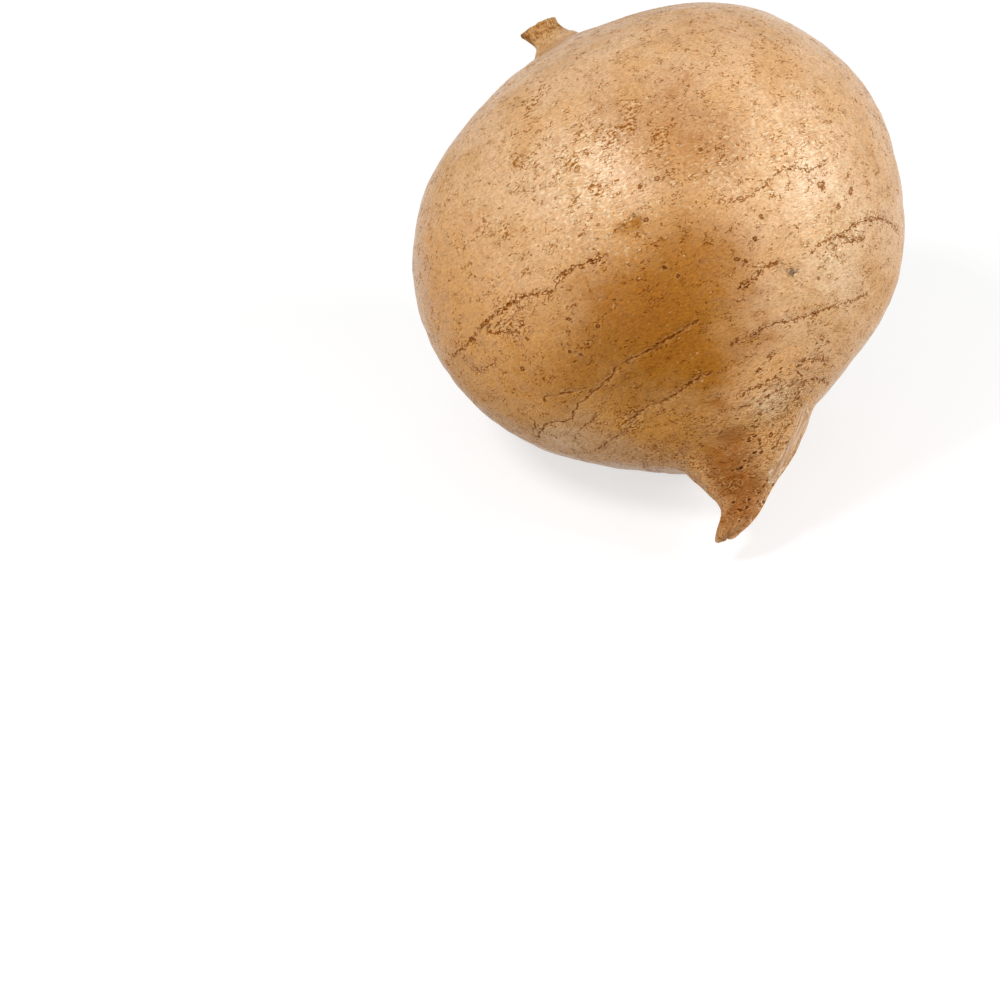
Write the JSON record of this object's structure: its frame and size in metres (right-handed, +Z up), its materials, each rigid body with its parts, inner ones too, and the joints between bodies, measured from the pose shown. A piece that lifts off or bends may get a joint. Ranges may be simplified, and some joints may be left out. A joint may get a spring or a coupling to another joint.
{
  "type": "jicama root",
  "caption": "Whole unpeeled jicama root: a squat tan-skinned tuber with a short hooked tail and a cut vine stub, lying on a small flat spot.",
  "frame": {"origin": "middle of the small flat spot on the underside that the root rests on", "axes": "+Z up; -Y is the front, which the tail leans towards; the tail is low at the front right and the vine stub is high at the back left"},
  "size_m": [0.126, 0.1216, 0.1243],
  "materials": {
    "skin": "waxy tan root skin with brown flecks, pits and fine cracks",
    "stub_bark": "dry matt brown vine bark"
  },
  "bodies": {
    "root": {"tuber": "skin", "vine_stub": "stub_bark"}
  },
  "joints": []
}
